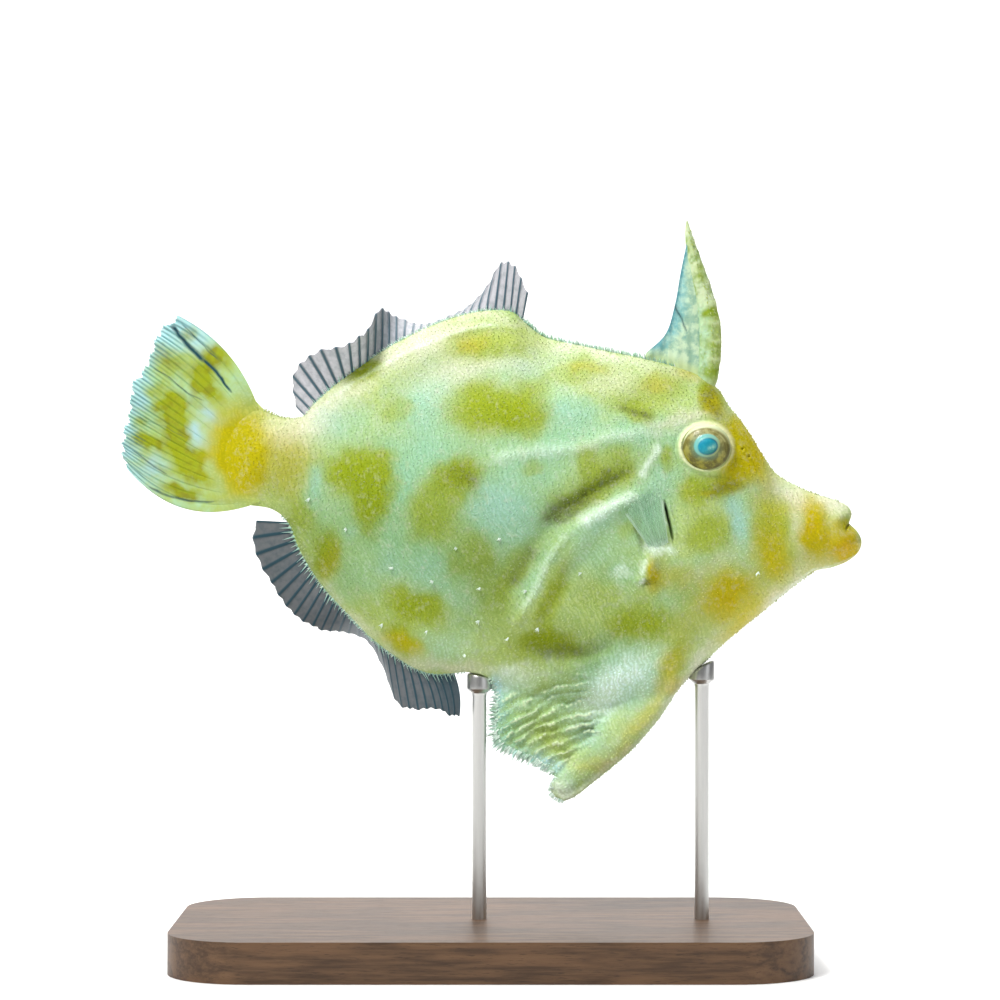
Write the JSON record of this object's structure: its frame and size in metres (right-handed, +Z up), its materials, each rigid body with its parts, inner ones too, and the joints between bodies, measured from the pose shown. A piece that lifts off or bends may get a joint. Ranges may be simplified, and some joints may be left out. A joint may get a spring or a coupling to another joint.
{
  "type": "bristle-tail filefish museum model",
  "caption": "Life-size filefish with a barbed dorsal spine, deep flat body, rayed fins and pelvic flap, held over a flat base by slim rods.",
  "frame": {"origin": "middle of the underside of the stand's base", "axes": "+X towards the snout, +Z up, and the right side of the fish, which the picture shows, faces -Y"},
  "size_m": [0.1109, 0.054, 0.1107],
  "materials": {
    "skin": "velvety skin of pale aqua with olive yellow blotches and fine pale points",
    "tail_fin": "skin over branched rays, pale aqua with olive blotches",
    "soft_fin": "slate grey rays in a thin pale membrane",
    "spine": "yellow green rough skin over bone, with blue green membrane",
    "eye": "wet gloss, blue pupil in a mottled brown iris",
    "wood": "dark stained and satin lacquered",
    "steel": "fine brushed"
  },
  "bodies": {
    "root": {"torso": "skin", "head": "skin", "tail_stalk": "skin", "pelvic_flap": "skin", "pelvic_stub": "skin", "upper_lip": "skin", "lower_lip": "skin", "dorsal_spine": "spine", "spine_web": "spine", "soft_dorsal_fin": "soft_fin", "anal_fin": "soft_fin", "tail_fin": "tail_fin", "pectoral_fin_right": "soft_fin", "pectoral_fin_left": "soft_fin", "eye_right": "eye", "eye_left": "eye", "stand_base": "wood", "stand_rod_front": "steel", "stand_rod_rear": "steel"}
  },
  "joints": []
}
